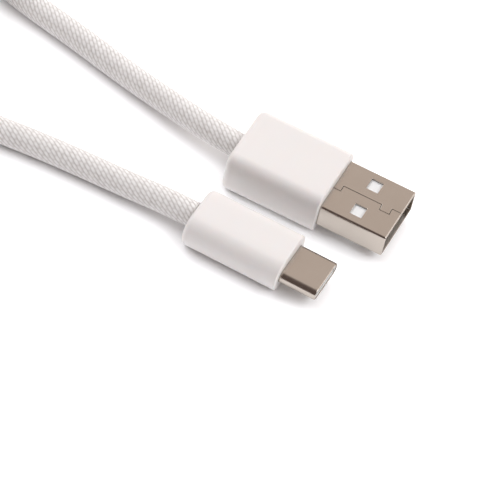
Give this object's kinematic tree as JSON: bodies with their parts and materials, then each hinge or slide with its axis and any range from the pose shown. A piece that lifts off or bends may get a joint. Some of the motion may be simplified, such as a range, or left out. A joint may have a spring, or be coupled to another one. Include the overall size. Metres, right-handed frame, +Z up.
{
  "type": "charging cable",
  "caption": "Woven charging cable with a USB-A plug at one end and a USB-C plug at the other, its spare length in a tied coil.",
  "frame": {"origin": "on the surface that the cable lies on, under the middle of the USB-A plug", "axes": "+X along the USB-A plug towards its tip, +Y away from the USB-C plug, +Z up"},
  "size_m": [0.1328, 0.0572, 0.0104],
  "materials": {
    "housing": "satin white moulding",
    "plug_steel": "nickel-plated steel sheet",
    "stamped_steel": "tinned steel sheet",
    "spring_steel": "stainless spring steel",
    "insulator": "white glass-filled plastic",
    "inner_mould": "translucent polyethylene",
    "gold_plated_contact": "thin gold plating",
    "solder": "soft solder",
    "wire_insulation": "coloured insulation",
    "circuit_board": "solder mask",
    "chip": "chip resistor",
    "woven_cord": "white braided yarn",
    "tie": "hook-and-loop tape"
  },
  "bodies": {
    "cord": {"cord_coil": "woven_cord", "cord_tie": "tie", "cord_run_a": "woven_cord", "cord_run_c": "woven_cord", "cord_flex_a": "woven_cord", "cord_flex_c": "woven_cord"},
    "usb_a_plug": {"usb_a_housing": "housing", "usb_a_shell": "plug_steel", "usb_a_insulator": "insulator", "usb_a_inner_mould": "inner_mould", "usb_a_ground_contact": "gold_plated_contact", "usb_a_data_plus_contact": "gold_plated_contact", "usb_a_data_minus_contact": "gold_plated_contact", "usb_a_power_contact": "gold_plated_contact", "usb_a_solder_joints": "solder", "usb_a_wires": "wire_insulation", "usb_a_crimp": "stamped_steel", "usb_a_cord_end": "woven_cord"},
    "usb_c_plug": {"usb_c_housing": "housing", "usb_c_shell": "plug_steel", "usb_c_front_liner": "insulator", "usb_c_inner_mould": "inner_mould", "usb_c_contact_holder": "insulator", "usb_c_contact_tails": "gold_plated_contact", "usb_c_mid_plate": "spring_steel", "usb_c_circuit_board": "circuit_board", "usb_c_resistor": "chip", "usb_c_solder_joints": "solder", "usb_c_wires": "wire_insulation", "usb_c_rear_can": "stamped_steel", "usb_c_crimp": "stamped_steel", "usb_c_cord_end": "woven_cord"},
    "usb_c_upper_contacts": {"usb_c_upper_contacts": "gold_plated_contact"},
    "usb_c_lower_contacts": {"usb_c_lower_contacts": "gold_plated_contact"},
    "usb_c_left_latch": {"usb_c_left_latch": "spring_steel"},
    "usb_c_right_latch": {"usb_c_right_latch": "spring_steel"}
  },
  "joints": [
    {"name": "usb_a_flex", "type": "hinge", "parent": "cord", "child": "usb_a_plug", "pos_m": [-0.0345, 0.0044, 0.0024], "axis": [0, 0, 1], "range_deg": [0, 60], "stiffness_Nm_per_rad": 0.04, "deforming": ["cord_flex_a"]},
    {"name": "usb_c_flex", "type": "hinge", "parent": "cord", "child": "usb_c_plug", "pos_m": [-0.0345, -0.0165, 0.0022], "axis": [0, 0, 1], "range_deg": [-60, 0], "stiffness_Nm_per_rad": 0.04, "deforming": ["cord_flex_c"]},
    {"name": "usb_c_upper_contact_spring", "type": "hinge", "parent": "usb_c_plug", "child": "usb_c_upper_contacts", "pos_m": [0.004, -0.01692, 0.00386], "axis": [-0.0209, -0.9998, 0], "range_deg": [0, 3], "stiffness_Nm_per_rad": 0.05},
    {"name": "usb_c_lower_contact_spring", "type": "hinge", "parent": "usb_c_plug", "child": "usb_c_lower_contacts", "pos_m": [0.004, -0.01692, 0.00234], "axis": [0.0209, 0.9998, 0], "range_deg": [0, 3], "stiffness_Nm_per_rad": 0.05},
    {"name": "usb_c_left_latch_spring", "type": "hinge", "parent": "usb_c_plug", "child": "usb_c_left_latch", "pos_m": [0.00407, -0.01335, 0.0031], "axis": [0, 0, 1], "range_deg": [0, 2], "stiffness_Nm_per_rad": 0.05},
    {"name": "usb_c_right_latch_spring", "type": "hinge", "parent": "usb_c_plug", "child": "usb_c_right_latch", "pos_m": [0.00392, -0.02049, 0.0031], "axis": [0, 0, -1], "range_deg": [0, 2], "stiffness_Nm_per_rad": 0.05}
  ]
}
